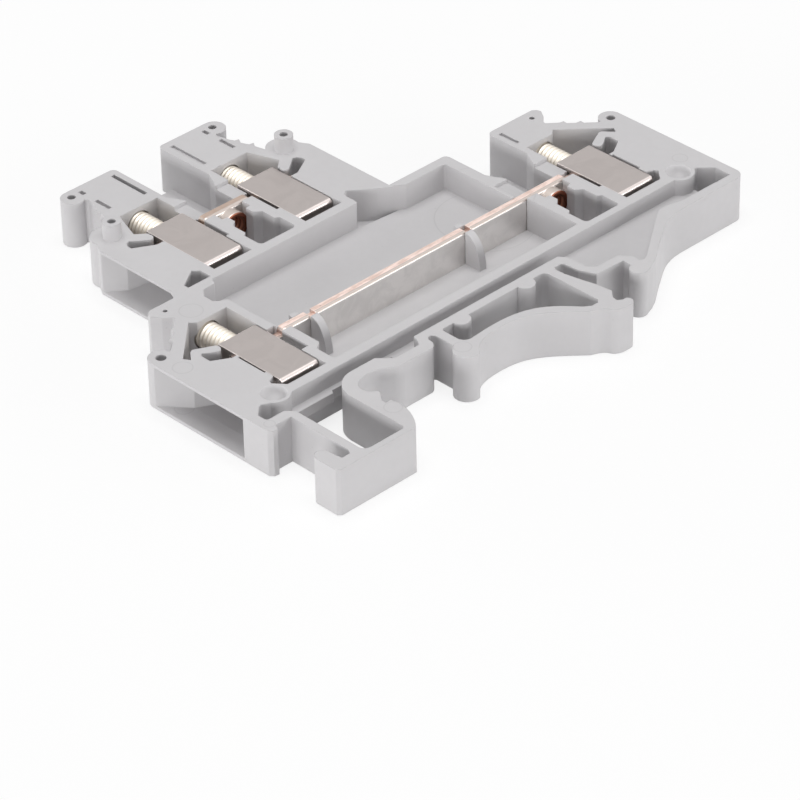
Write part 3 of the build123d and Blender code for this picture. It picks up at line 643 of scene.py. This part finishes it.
# The stage. Lamps as place, power against the key power, width and height of the panel
LAMPS = {
    "front_panel": ((0.60, -1.22, 0.28), 1.0, 1.2, 0.5),
    "left_panel": ((-1.30, -0.20, 0.16), 1.0, 1.2, 0.3),
    "back_panel": ((-0.70, 1.20, 0.16), 0.6, 1.2, 0.3),
    "top_panel": ((0.00, 0.00, 1.40), 1.6, 1.0, 1.0),
}
CAMERA_PLACE = (-0.2520, -0.2670, 0.23385)
CAMERA_TARGET = (-0.0206, -0.0237, 0.0052)
CAMERA_ROLL = radians(-1.32)
SENSOR_WIDTH = 36.0
NEAR_CLIP = 0.01
FLOOR_HALF = 1.5
FLOOR_DROP = 0.05 * MM
FLOOR_GLOW = 0.78
FLOOR_BOUNCE = (0.85, 0.85, 0.85, 1.0)
WHITE = (1.0, 1.0, 1.0, 1.0)


class TERMINAL_OT_build_stage(bpy.types.Operator):
    """Lay the white floor and set up the lamps, the sky and the camera"""

    bl_idname = "terminal.build_stage"
    bl_label = "Build the stage"

    def execute(self, context):
        look = context.scene.terminal_stage
        self.lay_floor(look)
        self.light_sky(context.scene, look)
        for name, (place, share, width, height) in LAMPS.items():
            self.hang_lamp(name, place, share * look.key_power, width, height)
        self.place_camera(context.scene, look)
        context.scene.view_settings.view_transform = "Standard"
        return {"FINISHED"}

    def lay_floor(self, look):
        signs = ((-1, -1), (1, -1), (1, 1), (-1, 1))
        corners = [(x * FLOOR_HALF, y * FLOOR_HALF, 0) for x, y in signs]
        mesh = bpy.data.meshes.new("table")
        mesh.from_pydata(corners, [], [(0, 1, 2, 3)])
        table = bpy.data.objects.new("table", mesh)
        table.location.z = -FLOOR_DROP
        bpy.context.collection.objects.link(table)
        finish = Finish("table_white")
        paths = finish.node("ShaderNodeLightPath").link.node.outputs
        rays = ("Camera", "Glossy", "Transmission")
        camera, glossy, through = (Socket(finish, paths[f"Is {ray} Ray"]) for ray in rays)
        dim = finish.node("ShaderNodeBsdfDiffuse", None, {"Color": FLOOR_BOUNCE})
        cloth = finish.node("ShaderNodeBsdfDiffuse", None, {"Color": (*look.floor_colour, 1.0)})
        glow = finish.node("ShaderNodeEmission", None, {"Color": WHITE, "Strength": 1.0})
        lit = finish.node("ShaderNodeMixShader", None, {0: FLOOR_GLOW, 1: cloth, 2: glow})
        seen = camera.maths("MAXIMUM", camera, glossy.maths("MAXIMUM", glossy, through))
        mixed = finish.node("ShaderNodeMixShader", None, {0: seen, 1: dim, 2: lit})
        finish.node("ShaderNodeOutputMaterial", None, {"Surface": mixed})
        paint(table, finish.material)

    def light_sky(self, scene, look):
        world = bpy.data.worlds.new("studio_sky")
        world.use_nodes = True
        tree = world.node_tree
        path = tree.nodes.new("ShaderNodeLightPath")
        seen = path.outputs["Is Camera Ray"]
        for ray in ("Glossy", "Transmission"):
            either = tree.nodes.new("ShaderNodeMath")
            either.operation = "MAXIMUM"
            tree.links.new(seen, either.inputs[0])
            tree.links.new(path.outputs[f"Is {ray} Ray"], either.inputs[1])
            seen = either.outputs[0]
        level = tree.nodes.new("ShaderNodeMapRange")
        tree.links.new(seen, level.inputs[0])
        level.inputs[3].default_value = look.sky_light
        level.inputs[4].default_value = 1.0
        background = tree.nodes["Background"]
        background.inputs["Color"].default_value = WHITE
        tree.links.new(level.outputs[0], background.inputs["Strength"])
        scene.world = world

    def hang_lamp(self, name, place, power, width, height):
        lamp = bpy.data.lights.new(name, "AREA")
        lamp.energy = power
        lamp.shape = "RECTANGLE"
        lamp.size = width
        lamp.size_y = height
        hung = bpy.data.objects.new(name, lamp)
        hung.location = place
        hung.rotation_euler = (-Vector(place)).to_track_quat("-Z", "Y").to_euler()
        bpy.context.collection.objects.link(hung)

    def place_camera(self, scene, look):
        lens = bpy.data.cameras.new("camera")
        lens.lens = look.lens
        lens.sensor_width = SENSOR_WIDTH
        lens.clip_start = NEAR_CLIP
        camera = bpy.data.objects.new("camera", lens)
        camera.location = CAMERA_PLACE
        aim = (Vector(CAMERA_TARGET) - Vector(CAMERA_PLACE)).to_track_quat("-Z", "Y").to_matrix()
        camera.rotation_euler = (aim @ Matrix.Rotation(CAMERA_ROLL, 3, "Z")).to_euler()
        bpy.context.collection.objects.link(camera)
        scene.camera = camera


class TERMINAL_PT_panel(bpy.types.Panel):
    """Lists the steps and settings of the terminal block"""

    bl_idname = "TERMINAL_PT_panel"
    bl_label = "Terminal block"
    bl_space_type = "VIEW_3D"
    bl_region_type = "UI"
    bl_category = "Terminal block"

    def draw(self, context):
        layout = self.layout
        for operator in OPERATORS:
            layout.operator(operator.bl_idname)
        scene = context.scene
        for group in (scene.terminal_plastic, scene.terminal_metal, scene.terminal_stage):
            box = layout.box()
            for name in group.__annotations__:
                box.prop(group, name)


OPERATORS = (TERMINAL_OT_dress_housing, TERMINAL_OT_dress_bars, TERMINAL_OT_dress_sleeves,
             TERMINAL_OT_build_screws, TERMINAL_OT_build_stage)
CLASSES = (PlasticSettings, MetalSettings, StageSettings, *OPERATORS, TERMINAL_PT_panel)


def register():
    for made in CLASSES:
        bpy.utils.register_class(made)
    bpy.types.Scene.terminal_plastic = PointerProperty(type=PlasticSettings)
    bpy.types.Scene.terminal_metal = PointerProperty(type=MetalSettings)
    bpy.types.Scene.terminal_stage = PointerProperty(type=StageSettings)


def unregister():
    del bpy.types.Scene.terminal_stage
    del bpy.types.Scene.terminal_metal
    del bpy.types.Scene.terminal_plastic
    for made in reversed(CLASSES):
        bpy.utils.unregister_class(made)


def main():
    register()
    bpy.ops.terminal.dress_housing()
    bpy.ops.terminal.dress_bars()
    bpy.ops.terminal.dress_sleeves()
    bpy.ops.terminal.build_screws()
    bpy.ops.terminal.build_stage()


if __name__ == "__main__":
    main()
